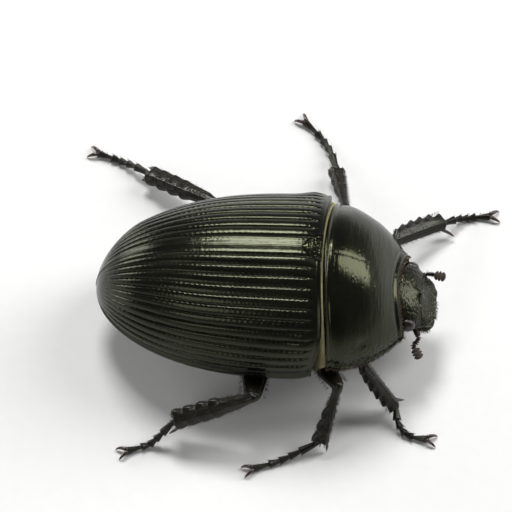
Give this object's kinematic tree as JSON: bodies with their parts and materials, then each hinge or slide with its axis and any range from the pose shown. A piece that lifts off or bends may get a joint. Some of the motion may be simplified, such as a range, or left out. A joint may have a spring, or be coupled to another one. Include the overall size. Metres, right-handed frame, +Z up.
{
  "type": "dor beetle museum model (dung beetle)",
  "caption": "Life-size still model of a dor beetle, a glossy black dung beetle standing on spread legs with its ribbed wing cases closed",
  "frame": {"origin": "on the floor, under the middle of the whole model's box", "axes": "+X towards the head end, +Y towards the beetle's left side, +Z up from the floor it stands on"},
  "size_m": [0.0271, 0.0272, 0.0101],
  "materials": {
    "wing_case": "glossy black shell with a faint olive sheen and fine lengthwise furrows",
    "shield": "smooth polished black shell, finely pricked at the edges",
    "belly": "dark violet-black shell with coarse pits and short hair",
    "leg": "brown-black shell with pits, teeth and bristles",
    "eye": "smooth dark brown",
    "feeler": "dull brown, with a grey-brown felted club"
  },
  "bodies": {
    "root": {"abdomen": "belly", "antenna_club_left": "feeler", "antenna_club_right": "feeler", "antenna_left": "feeler", "antenna_right": "feeler", "coxa_fore_left": "leg", "coxa_fore_right": "leg", "coxa_hind_left": "leg", "coxa_hind_right": "leg", "coxa_mid_left": "leg", "coxa_mid_right": "leg", "elytron_left": "wing_case", "elytron_right": "wing_case", "eye_left": "eye", "eye_right": "eye", "femur_fore_left": "leg", "femur_fore_right": "leg", "femur_hind_left": "leg", "femur_hind_right": "leg", "femur_mid_left": "leg", "femur_mid_right": "leg", "head": "shield", "labrum": "shield", "mandible_left": "shield", "mandible_right": "shield", "palp_left": "feeler", "palp_right": "feeler", "pronotum": "shield", "prosternum": "belly", "scutellum": "shield", "tarsus_fore_left": "leg", "tarsus_fore_right": "leg", "tarsus_hind_left": "leg", "tarsus_hind_right": "leg", "tarsus_mid_left": "leg", "tarsus_mid_right": "leg", "thorax": "belly", "tibia_fore_left": "leg", "tibia_fore_right": "leg", "tibia_hind_left": "leg", "tibia_hind_right": "leg", "tibia_mid_left": "leg", "tibia_mid_right": "leg"}
  },
  "joints": []
}
